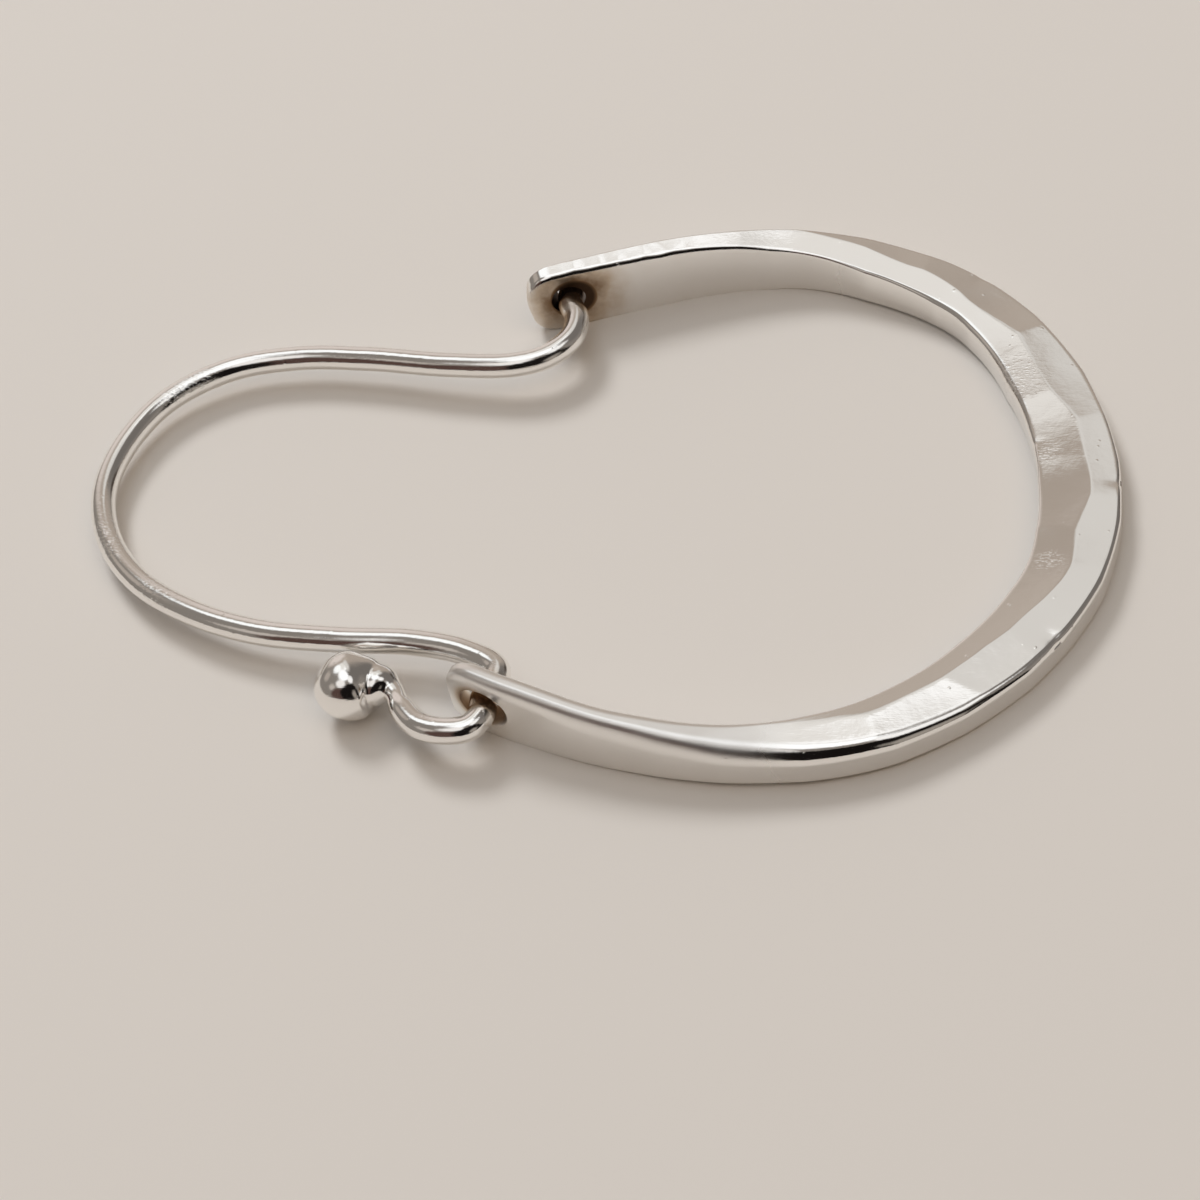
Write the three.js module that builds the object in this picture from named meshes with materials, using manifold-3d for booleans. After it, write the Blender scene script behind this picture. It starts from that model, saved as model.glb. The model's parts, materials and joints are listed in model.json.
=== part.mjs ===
// Hammered hoop earring with a swinging ear wire, lying flat as on a table.
// Millimetres, +Z up. The hoop's belly points to +X, the ear wire's arch to -X, and the line
// through the two tab holes, about which the ear wire swings, runs along Y.
// Two solids: the forged hoop, and the ear wire with the ball melted on its end.

import * as THREE from 'three';
import { mergeVertices } from 'three/addons/utils/BufferGeometryUtils.js';
import Module from 'manifold-3d';

const wasm = await Module();
wasm.setup();

// ---- driving sizes, mm -------------------------------------------------------------------

const WIRE_DIAMETER = 1.02;        // 18 gauge round wire
const LATCH_HOLE_DIAMETER = 1.45;  // drilled through the latch tab, for the wire's plain end
const PIVOT_HOLE_DIAMETER = 1.8;   // drilled through the pivot tab, loose on the bent wire
const HINGE_HEIGHT = 1.55;         // middle of the holes above the table
const BALL_DIAMETER = 2.76;        // melted end of the ear wire, rests on the table
const NECK_DIAMETER = 1.75;        // smaller lump where the ball runs into the wire
const TIP_BEYOND_TAB = 0.75;       // how far the plain end stands out of the latch tab
const END_ROUNDING = 1.15;         // length over which a tab's end is rounded off
const END_HEIGHT_SHARE = 0.42;     // height and width that are left at the very end of a tab
const END_WIDTH_SHARE = 0.72;
const STANDING_FLAT = 0.03;        // depth worn flat where the hoop touches the table

// The forged bar, section by section along its middle line, from the latch tab to the pivot tab.
// The stock was flattened upright at its ends and flat-wise round the belly: width lies in the
// plane of the hoop and height stands across it. square is the exponent of the rounded section:
// 2 is an ellipse, and a high number a rectangle.
const HOOP_SECTIONS = [
  { name: 'latch_end',      x: -1.65, y: 10.15, width: 0.80, height: 3.15, square: 5.0 },
  { name: 'latch_hole',     x: 1.20, y: 11.15, width: 0.88, height: 3.15, square: 5.0 },
  { name: 'latch_shank',    x: 5.00, y: 12.35, width: 0.92, height: 3.10, square: 5.0 },
  { name: 'latch_twist',    x: 9.20, y: 12.98, width: 1.35, height: 2.40, square: 4.6 },
  { name: 'latch_shoulder', x: 13.40, y: 12.05, width: 2.10, height: 1.85, square: 4.2 },
  { name: 'upper_bow',      x: 17.05, y: 9.90, width: 2.55, height: 1.55, square: 4.0 },
  { name: 'upper_belly',    x: 19.80, y: 5.90, width: 3.00, height: 1.45, square: 3.8 },
  { name: 'belly',          x: 21.20, y: 1.05, width: 3.20, height: 1.40, square: 3.8 },
  { name: 'lower_belly',    x: 20.85, y: -3.80, width: 3.05, height: 1.45, square: 3.8 },
  { name: 'lower_bow',      x: 18.30, y: -8.20, width: 2.75, height: 1.55, square: 4.0 },
  { name: 'pivot_shoulder', x: 14.40, y: -11.25, width: 2.25, height: 1.65, square: 4.2 },
  { name: 'pivot_twist',    x: 9.90, y: -12.42, width: 1.50, height: 1.95, square: 4.6 },
  { name: 'pivot_shank',    x: 5.30, y: -12.12, width: 0.98, height: 2.65, square: 5.0 },
  { name: 'pivot_hole',     x: 1.30, y: -10.98, width: 0.88, height: 3.15, square: 5.0 },
  { name: 'pivot_end',      x: -1.30, y: -9.95, width: 0.80, height: 3.15, square: 5.0 },
];
const HOOP_STATIONS = 84;
const SECTION_SIDES = 20;

// Middle of each tab's thickness where the hinge line passes through it.
const LATCH_HOLE_Y = 10.88;
const PIVOT_HOLE_Y = -10.47;
const TAB_REACH_ALONG_HINGE = 0.55;   // half a tab's thickness as cut by the slanting hinge line

// Ear wire's middle line in its own plane, from the plain tip to the ball, chosen by hand.
// It runs along the hinge line through each hole, and crosses the plane of the tabs there.
const EAR_WIRE_ROUTE = [
  { at: 'tip',          x: 0.00, y: LATCH_HOLE_Y + TAB_REACH_ALONG_HINGE + TIP_BEYOND_TAB },
  { at: 'latch hole',   x: 0.00, y: LATCH_HOLE_Y },
  { at: 'latch hole',   x: 0.08, y: 10.10 },
  { at: 'latch bend',   x: 0.50, y: 9.15 },
  { at: 'latch bend',   x: 0.40, y: 8.05 },
  { at: 'latch bend',   x: -0.40, y: 7.10 },
  { at: 'latch bend',   x: -1.70, y: 6.65 },
  { at: 'latch leg',    x: -4.40, y: 6.72 },
  { at: 'latch leg',    x: -8.00, y: 7.20 },
  { at: 'latch leg',    x: -11.20, y: 7.35 },
  { at: 'arch',         x: -14.05, y: 6.78 },
  { at: 'arch',         x: -16.40, y: 5.08 },
  { at: 'arch',         x: -17.60, y: 2.70 },
  { at: 'arch',         x: -17.85, y: 0.10 },
  { at: 'arch',         x: -17.00, y: -2.45 },
  { at: 'arch',         x: -15.15, y: -4.70 },
  { at: 'arch',         x: -12.55, y: -6.30 },
  { at: 'pivot leg',    x: -9.60, y: -7.30 },
  { at: 'pivot leg',    x: -6.20, y: -7.70 },
  { at: 'pivot leg',    x: -3.20, y: -7.85 },
  { at: 'pivot bend',   x: -1.05, y: -8.35 },
  { at: 'pivot bend',   x: 0.25, y: -9.15 },
  { at: 'pivot hole',   x: 0.28, y: -9.90 },
  { at: 'pivot hole',   x: 0.00, y: PIVOT_HOLE_Y },
  { at: 'pivot hole',   x: 0.06, y: -11.20 },
  { at: 'hook',         x: -0.35, y: -11.88 },
  { at: 'hook',         x: -1.35, y: -12.02 },
  { at: 'hook',         x: -2.35, y: -11.72 },
  { at: 'hook',         x: -3.10, y: -10.95 },
  { at: 'hook',         x: -3.62, y: -10.15 },
  { at: 'ball',         x: -4.40, y: -9.85 },
];
const BALL_AT = { x: -5.32, y: -9.92 };
const NECK_AT = { x: -4.30, y: -9.90 };
const WIRE_STEPS = 120;
const WIRE_CURVE_SEGMENTS = 6;        // gives a round section of 12 sides

const SILVER = { color: 0xd9d5cf, roughness: 0.14, metalness: 1.0 };

// ---- helpers -----------------------------------------------------------------------------

// A closed mesh as a manifold solid: only positions are kept, and equal corners are merged.
function solidFrom(geometry) {
  const bare = geometry.clone();
  bare.deleteAttribute('normal');
  bare.deleteAttribute('uv');
  const merged = mergeVertices(bare, 1e-5);
  const mesh = new wasm.Mesh({
    numProp: 3,
    vertProperties: new Float32Array(merged.attributes.position.array),
    triVerts: new Uint32Array(merged.index.array),
  });
  return new wasm.Manifold(mesh);
}

function geometryFrom(solid) {
  const mesh = solid.getMesh();
  const geometry = new THREE.BufferGeometry();
  geometry.setAttribute('position', new THREE.BufferAttribute(mesh.vertProperties, 3));
  geometry.setIndex(new THREE.BufferAttribute(mesh.triVerts, 1));
  geometry.computeVertexNormals();
  return geometry;
}

// A skin through rings of points, all with the same number of points, closed by a fan at each end.
function loftGeometry(rings) {
  const sides = rings[0].length;
  const points = rings.flat();
  const lastRing = (rings.length - 1) * sides;
  const triangles = [];
  for (let ring = 0; ring < rings.length - 1; ring++) {
    for (let side = 0; side < sides; side++) {
      const next = (side + 1) % sides;
      const a = ring * sides + side;
      const b = ring * sides + next;
      triangles.push(a, b, a + sides, b, b + sides, a + sides);
    }
  }
  const startCentre = points.push(centreOf(rings[0])) - 1;
  const endCentre = points.push(centreOf(rings[rings.length - 1])) - 1;
  for (let side = 0; side < sides; side++) {
    const next = (side + 1) % sides;
    triangles.push(startCentre, next, side);
    triangles.push(endCentre, lastRing + side, lastRing + next);
  }
  const geometry = new THREE.BufferGeometry().setFromPoints(points);
  geometry.setIndex(triangles);
  return geometry;
}

function centreOf(points) {
  const sum = points.reduce((total, point) => total.add(point), new THREE.Vector3());
  return sum.divideScalar(points.length);
}

// ---- hoop --------------------------------------------------------------------------------

// Height of the section's middle above the table. The hoop's middle plane leans from the tall
// tabs down to the thin belly, so both tabs and the belly touch the table.
function middleHeight(x, tabHeight) {
  const belly = HOOP_SECTIONS.find((section) => section.name === 'belly');
  const share = THREE.MathUtils.clamp(x / belly.x, 0, 1);
  return THREE.MathUtils.lerp(tabHeight / 2, belly.height / 2, share) - STANDING_FLAT;
}

// How much of a tab's height or width is left at a distance from its end.
function endShare(distance, shareAtEnd) {
  const inset = THREE.MathUtils.clamp(1 - distance / END_ROUNDING, 0, 1);
  return shareAtEnd + (1 - shareAtEnd) * Math.sqrt(1 - inset * inset);
}

// One coordinate of a rounded rectangle's outline, from the cosine or sine of the angle.
function roundedCoordinate(ratio, half, square) {
  return Math.sign(ratio) * half * Math.abs(ratio) ** (2 / square);
}

function hoopRings() {
  const asPoint = (section) => new THREE.Vector3(section.x, section.y, 0);
  const asSizes = (section) => new THREE.Vector3(section.width, section.height, section.square);
  const middleLine = new THREE.CatmullRomCurve3(HOOP_SECTIONS.map(asPoint), false, 'catmullrom', 0.5);
  const sizes = new THREE.CatmullRomCurve3(HOOP_SECTIONS.map(asSizes), false, 'catmullrom', 0.5);
  const length = middleLine.getLength();
  const rings = [];
  for (let station = 0; station <= HOOP_STATIONS; station++) {
    const share = (1 - Math.cos(Math.PI * station / HOOP_STATIONS)) / 2;
    const along = THREE.MathUtils.lerp(station / HOOP_STATIONS, share, 0.55);
    const t = middleLine.getUtoTmapping(along);
    const fromEnd = Math.min(along, 1 - along) * length;
    const middle = middleLine.getPoint(t);
    const heading = middleLine.getTangent(t);
    const size = sizes.getPoint(t);
    const outward = new THREE.Vector3(-heading.y, heading.x, 0).normalize();
    const tabHeight = along < 0.5 ? HOOP_SECTIONS[0].height : HOOP_SECTIONS.at(-1).height;
    middle.z = middleHeight(middle.x, tabHeight);
    rings.push(hoopRing(middle, outward, {
      halfWidth: size.x / 2 * endShare(fromEnd, END_WIDTH_SHARE),
      halfHeight: size.y / 2 * endShare(fromEnd, END_HEIGHT_SHARE),
      square: size.z,
    }));
  }
  return rings;
}

function hoopRing(middle, outward, { halfWidth, halfHeight, square }) {
  const ring = [];
  for (let side = 0; side < SECTION_SIDES; side++) {
    const angle = 2 * Math.PI * (side + 0.5) / SECTION_SIDES;
    const across = roundedCoordinate(Math.cos(angle), halfWidth, square);
    const up = roundedCoordinate(Math.sin(angle), halfHeight, square);
    const point = middle.clone().addScaledVector(outward, across);
    point.z += up;
    ring.push(point);
  }
  return ring;
}

function tabHole(y, diameter) {
  const drill = new THREE.CylinderGeometry(diameter / 2, diameter / 2, 4, 28);
  drill.translate(0, y, HINGE_HEIGHT);
  return solidFrom(drill);
}

// Everything below the table, to cut the small flats on which the hoop stands.
function belowTable() {
  const block = new THREE.BoxGeometry(80, 80, 10);
  block.translate(0, 0, -5);
  return solidFrom(block);
}

function hoopGeometry() {
  const forged = solidFrom(loftGeometry(hoopRings()));
  const drilled = forged
    .subtract(tabHole(LATCH_HOLE_Y, LATCH_HOLE_DIAMETER))
    .subtract(tabHole(PIVOT_HOLE_Y, PIVOT_HOLE_DIAMETER));
  return geometryFrom(drilled.subtract(belowTable()));
}

// ---- ear wire ----------------------------------------------------------------------------

// Made with the hinge line on the Y axis and the wire's plane level.
function earWireGeometry() {
  const points = EAR_WIRE_ROUTE.map((point) => new THREE.Vector3(point.x, point.y, 0));
  const route = new THREE.CatmullRomCurve3(points, false, 'centripetal');
  const section = new THREE.Shape().absarc(0, 0, WIRE_DIAMETER / 2, 0, 2 * Math.PI, false);
  const wire = new THREE.ExtrudeGeometry(section, {
    extrudePath: route,
    steps: WIRE_STEPS,
    curveSegments: WIRE_CURVE_SEGMENTS,
  });
  const ball = new THREE.SphereGeometry(BALL_DIAMETER / 2, 20, 14);
  ball.translate(BALL_AT.x, BALL_AT.y, 0);
  const neck = new THREE.SphereGeometry(NECK_DIAMETER / 2, 14, 10);
  neck.translate(NECK_AT.x, NECK_AT.y, 0);
  return geometryFrom(solidFrom(wire).add(solidFrom(ball)).add(solidFrom(neck)));
}

// The wire hangs down from the hinge line until its ball rests on the table.
function earWireDroop() {
  return Math.atan2(HINGE_HEIGHT - BALL_DIAMETER / 2, Math.abs(BALL_AT.x));
}

// ---- assembly ----------------------------------------------------------------------------

function namedMesh(name, geometry) {
  const mesh = new THREE.Mesh(geometry, new THREE.MeshStandardMaterial(SILVER));
  mesh.name = name;
  return mesh;
}

const hoop = namedMesh('hoop', hoopGeometry());
const earWire = namedMesh('ear_wire', earWireGeometry());
earWire.position.z = HINGE_HEIGHT;
earWire.rotation.y = -earWireDroop();

const earring = new THREE.Group();
earring.add(hoop, earWire);

// The origin is under the middle of the whole earring, on the table.
earring.updateMatrixWorld(true);
const extent = new THREE.Box3().setFromObject(earring, true);
const middle = extent.getCenter(new THREE.Vector3());
earring.position.set(-middle.x, -middle.y, -extent.min.z);

export default earring;
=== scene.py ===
# %% [markdown]
# # A hammered silver hoop earring
#
# The real earring is two pieces of sterling silver. A forged hoop has its ends hammered upright
# into drilled tabs and its belly hammered flat. A round ear wire swings in the two holes, and
# ends in a ball that was melted on with a torch. Each piece is made here as a jeweller makes
# it: straight stock first, then forged or melted in shape, and bent round last.
#
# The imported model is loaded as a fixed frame. It says how large everything is and how it moves.

import json
import math

import bmesh
import bpy
import numpy as np
from mathutils import Matrix, Vector


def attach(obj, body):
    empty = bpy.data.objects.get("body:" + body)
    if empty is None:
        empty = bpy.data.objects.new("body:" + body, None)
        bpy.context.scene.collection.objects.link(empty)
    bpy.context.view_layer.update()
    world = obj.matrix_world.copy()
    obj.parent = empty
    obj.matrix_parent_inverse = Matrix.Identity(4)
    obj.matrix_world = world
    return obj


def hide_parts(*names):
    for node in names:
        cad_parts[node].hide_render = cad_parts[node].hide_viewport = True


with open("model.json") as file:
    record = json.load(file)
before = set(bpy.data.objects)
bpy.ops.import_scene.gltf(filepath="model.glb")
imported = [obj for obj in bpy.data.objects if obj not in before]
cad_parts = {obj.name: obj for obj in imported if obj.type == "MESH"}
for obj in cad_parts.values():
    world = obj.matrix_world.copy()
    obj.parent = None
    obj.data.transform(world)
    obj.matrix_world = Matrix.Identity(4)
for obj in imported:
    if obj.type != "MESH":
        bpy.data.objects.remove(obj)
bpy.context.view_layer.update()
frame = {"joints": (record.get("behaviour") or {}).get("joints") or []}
swing = frame["joints"][0]
hinge = Vector(swing["pos_m"])
print("hinge mm", [round(1000 * value, 3) for value in hinge])

# %% [markdown]
# The camera comes first, because every later choice is judged through it. It is a long lens
# close to a small thing, as for jewellery: the aim point, the direction and the distance fix
# it. The roll turns the picture so that the earring lies across it on a slant.

# %% Camera
MM = 0.001                                     # one millimetre in scene units
CAMERA_AIM = Vector((1.42, -5.94, 1.5)) * MM   # where the middle of the view meets the earring
CAMERA_HEADING = math.radians(18.88)           # the camera stands this far round to the right
CAMERA_ELEVATION = math.radians(48.99)
CAMERA_ROLL = math.radians(-13.69)
CAMERA_DISTANCE = 111.2 * MM
CAMERA_LENS = 88.5                             # mm on a 36 mm wide sensor


def place_camera():
    """A camera that looks at the aim point from its heading, elevation and distance."""
    ahead = Vector((-math.sin(CAMERA_HEADING), math.cos(CAMERA_HEADING), 0))
    view = ahead * math.cos(CAMERA_ELEVATION) - Vector((0, 0, math.sin(CAMERA_ELEVATION)))
    bpy.ops.object.camera_add(location=CAMERA_AIM - view * CAMERA_DISTANCE)
    camera = bpy.context.object
    camera.rotation_mode = "QUATERNION"
    level = view.to_track_quat("-Z", "Y")
    camera.rotation_quaternion = level @ Matrix.Rotation(CAMERA_ROLL, 3, "Z").to_quaternion()
    camera.data.lens = CAMERA_LENS
    camera.data.sensor_width = 36
    camera.data.clip_start = 5 * MM
    camera.data.clip_end = 5
    bpy.context.scene.camera = camera
    return camera


camera = place_camera()
print("camera at mm", [round(value / MM, 1) for value in camera.location])

# %% [markdown]
# The workshop measures are those of the frame's model. One row describes the forged bar at one
# place along its middle line, and the ear wire has a route of listed points. A smooth curve runs
# through the points of each, the same kind as in the frame's model, so that both agree. The shapes
# are made with one unit to the millimetre, because Blender's edit tools work with fixed small
# tolerances, and each finished piece is then brought to metres.

# %% Workshop measures, mm
HOOP_SECTIONS = [
    # width lies in the plane of the hoop and height stands across it. The top is a low roof:
    # pitch is its slope in degrees, and crest says where its ridge lies, from -1 at the inner
    # edge to 1 at the outer. inner_round and outer_round are the radii of the upper edges,
    # outer_stretch is how much taller than wide the round of the outer one is, and hammered is
    # how deep the hammer marks are, as a share. Both are 1 where a row doesn't give them.
    dict(name="latch_end", x=-1.65, y=10.15, width=0.80, height=3.15, crest=0.6, pitch=13.0,
         inner_round=0.24, outer_round=0.20, hammered=0.8),
    dict(name="latch_hole", x=1.20, y=11.15, width=0.88, height=3.15, crest=0.6, pitch=13.0,
         inner_round=0.24, outer_round=0.20, hammered=0.8),
    dict(name="latch_shank", x=5.00, y=12.35, width=0.92, height=3.10, crest=0.7, pitch=12.0,
         inner_round=0.22, outer_round=0.18),
    dict(name="latch_twist", x=9.20, y=12.98, width=1.35, height=2.40, crest=0.7, pitch=9.0,
         inner_round=0.16, outer_round=0.18),
    dict(name="latch_shoulder", x=13.40, y=12.05, width=2.10, height=1.85, crest=0.05, pitch=8.0,
         inner_round=0.20, outer_round=0.18),
    dict(name="upper_bow", x=17.05, y=9.90, width=2.55, height=1.55, crest=-0.15, pitch=8.0,
         inner_round=0.30, outer_round=0.18),
    dict(name="upper_belly", x=19.80, y=5.90, width=3.00, height=1.45, crest=-0.05, pitch=6.3,
         inner_round=0.34, outer_round=0.18),
    dict(name="belly", x=21.20, y=1.05, width=3.20, height=1.40, crest=0.25, pitch=5.8,
         inner_round=0.16, outer_round=0.20),
    dict(name="lower_belly", x=20.85, y=-3.80, width=3.05, height=1.45, crest=0.05, pitch=6.2,
         inner_round=0.16, outer_round=0.24),
    dict(name="lower_bow", x=18.30, y=-8.20, width=2.75, height=1.55, crest=-0.28, pitch=7.5,
         inner_round=0.16, outer_round=0.34),
    dict(name="pivot_shoulder", x=14.40, y=-11.25, width=2.25, height=1.65, crest=-0.45, pitch=6.5,
         inner_round=0.18, outer_round=0.50, hammered=0.9),
    dict(name="pivot_twist", x=9.90, y=-12.42, width=1.50, height=1.95, crest=-0.75, pitch=3.0,
         inner_round=0.30, outer_round=0.64, outer_stretch=1.2, hammered=0.6),
    dict(name="pivot_shank", x=5.30, y=-12.12, width=0.98, height=2.65, crest=0.0, pitch=0.0,
         inner_round=0.40, outer_round=0.45, outer_stretch=1.9, hammered=0.3),
    dict(name="pivot_hole", x=1.30, y=-10.98, width=0.88, height=3.15, crest=0.0, pitch=0.0,
         inner_round=0.38, outer_round=0.38, outer_stretch=1.6, hammered=0.2),
    dict(name="pivot_end", x=-1.30, y=-9.95, width=0.80, height=3.15, crest=0.0, pitch=0.0,
         inner_round=0.36, outer_round=0.36, outer_stretch=1.3, hammered=0.2),
]
WIRE_DIAMETER = 1.02
LATCH_HOLE_DIAMETER = 1.45
PIVOT_HOLE_DIAMETER = 1.8
BALL_DIAMETER = 2.76
NECK_DIAMETER = 1.75
BALL_X = -5.32              # middle of the ball, before the wire droops
LATCH_HOLE_Y = 10.88
PIVOT_HOLE_Y = -10.47
EAR_WIRE_ROUTE = [
    (0.00, LATCH_HOLE_Y + 1.30), (0.00, LATCH_HOLE_Y), (0.08, 10.10), (0.50, 9.15), (0.40, 8.05),
    (-0.40, 7.10), (-1.70, 6.65), (-4.40, 6.72), (-8.00, 7.20), (-11.20, 7.35), (-14.05, 6.78),
    (-16.40, 5.08), (-17.60, 2.70), (-17.85, 0.10), (-17.00, -2.45), (-15.15, -4.70),
    (-12.55, -6.30), (-9.60, -7.30), (-6.20, -7.70), (-3.20, -7.85), (-1.05, -8.35),
    (0.25, -9.15), (0.28, -9.90), (0.00, PIVOT_HOLE_Y), (0.06, -11.20), (-0.35, -11.88),
    (-1.35, -12.02), (-2.35, -11.72), (-3.10, -10.95), (-3.62, -10.15), (-4.40, -9.85),
    (BALL_X, -9.92), (BALL_X - BALL_DIAMETER / 2, -9.98),
]


# %% Smooth lines through the measures
def through_points(points, per_span=24, even=False):
    """A smooth curve through rows of numbers, per_span steps from each row to the next.
    With even set, the rows count as equally far apart, whatever their distances are."""
    rows = np.array(points, float)
    rows = np.vstack([2 * rows[0] - rows[1], rows, 2 * rows[-1] - rows[-2]])
    gaps = np.linalg.norm(np.diff(rows, axis=0), axis=1) ** 0.5
    knots = np.arange(len(rows)) * 1.0 if even else np.append(0, np.cumsum(gaps))
    curve = []
    for k in range(1, len(rows) - 2):
        t = np.linspace(knots[k], knots[k + 1], per_span, endpoint=False)[:, None]
        a, b, c, d = rows[k - 1:k + 3]
        ta, tb, tc, td = knots[k - 1:k + 3]
        ab = (a * (tb - t) + b * (t - ta)) / (tb - ta)
        bc = (b * (tc - t) + c * (t - tb)) / (tc - tb)
        cd = (c * (td - t) + d * (t - tc)) / (td - tc)
        abc = (ab * (tc - t) + bc * (t - ta)) / (tc - ta)
        bcd = (bc * (td - t) + cd * (t - tb)) / (td - tb)
        curve.append((abc * (tc - t) + bcd * (t - tb)) / (tc - tb))
    curve.append(rows[-2][None])
    return np.vstack(curve)


def lengths_along(curve):
    """Distance from the curve's first point to each of its points."""
    return np.append(0, np.cumsum(np.linalg.norm(np.diff(curve[:, :2], axis=0), axis=1)))


HOOP_COLUMNS = [column for column in HOOP_SECTIONS[-1] if column != "name"]
hoop_table = [[row.get(column, 1) for column in HOOP_COLUMNS] for row in HOOP_SECTIONS]
hoop_line = through_points(hoop_table, per_span=60, even=True)
hoop_along = lengths_along(hoop_line)
wire_line = through_points(EAR_WIRE_ROUTE)
wire_along = lengths_along(wire_line)
print("bar length mm", round(hoop_along[-1], 2), "wire length mm", round(wire_along[-1], 2))

# %% [markdown]
# Both pieces start as a primitive that is cut into fine slices in edit mode, with its points
# then moved to the shape wanted, and is bent last. A few small helpers do what both need. One
# chooses edges by their direction, after deselecting everything. Two hand all of a mesh's points
# to numpy and back. One bends a straight piece with the Curve modifier: its X runs along the
# curve and its Y points to the curve's left. The last brings a finished piece to its true size.

# %% Helpers for straight stock
def select_edges_along(piece, axis):
    """In edit mode, select just the edges that run along X, Y or Z: axis 0, 1 or 2."""
    bpy.ops.mesh.select_mode(type="EDGE")
    bpy.ops.mesh.select_all(action="DESELECT")
    mesh = bmesh.from_edit_mesh(piece.data)
    for edge in mesh.edges:
        start, end = edge.verts[0].co, edge.verts[1].co
        edge.select_set(abs((end - start).normalized()[axis]) > 0.99)
    bmesh.update_edit_mesh(piece.data)


def points_of(piece):
    """The piece's points as rows of numbers."""
    flat = np.empty(3 * len(piece.data.vertices))
    piece.data.vertices.foreach_get("co", flat)
    return flat.reshape(-1, 3)


def move_points(piece, places):
    """Give the piece's points new places."""
    piece.data.vertices.foreach_set("co", np.ascontiguousarray(places).ravel())
    piece.data.update()


def only(piece):
    """Make this the one selected and active object."""
    bpy.ops.object.select_all(action="DESELECT")
    piece.select_set(True)
    bpy.context.view_layer.objects.active = piece


def apply_modifier(piece, kind, **settings):
    """Add a modifier with its settings to a piece and apply it at once."""
    only(piece)
    modifier = piece.modifiers.new(kind.title(), kind)
    for name, value in settings.items():
        setattr(modifier, name, value)
    bpy.ops.object.modifier_apply(modifier=modifier.name)


def bend_along(piece, line):
    """Bend a straight piece along a level line of points, as long as the piece."""
    data = bpy.data.curves.new(piece.name + "_bend", "CURVE")
    data.dimensions = "2D"
    spline = data.splines.new("POLY")
    spline.points.add(len(line) - 1)
    for point, place in zip(spline.points, line):
        point.co = (place[0], place[1], 0, 1)
    curve = bpy.data.objects.new(piece.name + "_bend", data)
    bpy.context.scene.collection.objects.link(curve)
    bpy.context.view_layer.update()
    apply_modifier(piece, "CURVE", object=curve, deform_axis="POS_X")
    bpy.data.objects.remove(curve)
    bpy.data.curves.remove(data)


SMOOTH_BELOW = math.radians(32)     # corners sharper than this stay crisp


def to_metres(piece):
    """Bring a piece from workshop millimetres, with the hinge line on Y, to its place."""
    only(piece)
    piece.scale = (MM, MM, MM)
    piece.location = (hinge.x, hinge.y, 0)
    bpy.ops.object.transform_apply(location=True, rotation=True, scale=True)
    low, high = points_of(piece).min(0) / MM, points_of(piece).max(0) / MM
    print(piece.name, "mm from", np.round(low, 2), "to", np.round(high, 2),
          "triangles", sum(len(face.vertices) - 2 for face in piece.data.polygons))


# %% [markdown]
# ## The hoop
#
# The hoop starts as a square bar. Subdividing its short edges gives the points around each
# section, and subdividing its long edges, twice, gives a slice every tenth of a millimetre.
# Nothing else needs so many points, but a polished surface shows every lack of them.

# %% A bar cut into slices
BAR_ACROSS = 32            # parts across the bar's width
BAR_UP = 16                # parts up its height
BAR_SLICES = (25, 24)      # parts along its length, first cut and second cut


def cut_bar():
    """A straight bar along X, one unit wide and high, cut into fine slices."""
    length = hoop_along[-1]
    bpy.ops.object.select_all(action="DESELECT")
    bpy.ops.mesh.primitive_cube_add(size=1, location=(length / 2, 0, 0), scale=(length, 1, 1))
    bar = bpy.context.object
    bar.name = "hammered_hoop"
    bpy.ops.object.transform_apply(location=True, rotation=True, scale=True)
    bpy.ops.object.mode_set(mode="EDIT")
    for axis, parts in ((1, BAR_ACROSS), (2, BAR_UP), (0, BAR_SLICES[0]), (0, BAR_SLICES[1])):
        select_edges_along(bar, axis)
        bpy.ops.mesh.subdivide(number_cuts=parts - 1)
    bpy.ops.object.mode_set(mode="OBJECT")
    return bar


hoop = cut_bar()
print("points in the bar", len(hoop.data.vertices))

# %% [markdown]
# Forging gives each slice its section: upright and thin in the tabs, low and wide in the belly,
# with a low roof on top whose ridge wanders from side to side, and with edges rounded more or
# less. The two ends are rounded off. Each point of the square bar is moved to its place in the
# section, which is quicker and more exact than scaling six hundred slices one by one.

# %% Forge the sections
END_ROUNDING = 1.15            # length over which a tab's end is rounded off
END_HEIGHT_SHARE = 0.42        # height and width left at the very end of a tab
END_WIDTH_SHARE = 0.72
END_BULGE = 0.10               # how far the face of a tab's end swells
FLAT_SHARE = 0.65              # share of a side's points on its flat, the rest round its edges
ROUND_LIMIT = 0.9              # an edge's radius, at most, as a share of half the section
UNDER_ROUND = 0.16             # radius of the two lower edges
RIDGE_SOFTNESS = 0.02          # mm over which the roof's ridge is soft before it is hammered
RIDGE_CROWDING = 1.5           # above 1, points lie closer together beside the ridge
RIDGE_FROM_EDGE = 0.85         # the points beside the ridge stay within this share of the top
CREST_SEED = 11
CREST_WANDER = 0.10            # how far the ridge wanders, as a share of half the width
CREST_WAVES = (4.3, 6.1, 9.7)  # mm, the lengths of the waves it wanders in
STANDING_FLAT = 0.03           # depth worn flat where the bar stands on the table
belly = next(row for row in HOOP_SECTIONS if row["name"] == "belly")


def along_hoop(place, column):
    """The value of one column of the section table at a distance along the bar."""
    return np.interp(place, hoop_along, hoop_line[:, HOOP_COLUMNS.index(column)])


def end_share(place, share_at_end):
    """How much of a tab's height or width is left near the bar's ends."""
    from_end = np.minimum(place, hoop_along[-1] - place)
    inset = np.clip(1 - from_end / END_ROUNDING, 0, 1)
    return share_at_end + (1 - share_at_end) * np.sqrt(1 - inset ** 2)


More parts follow.
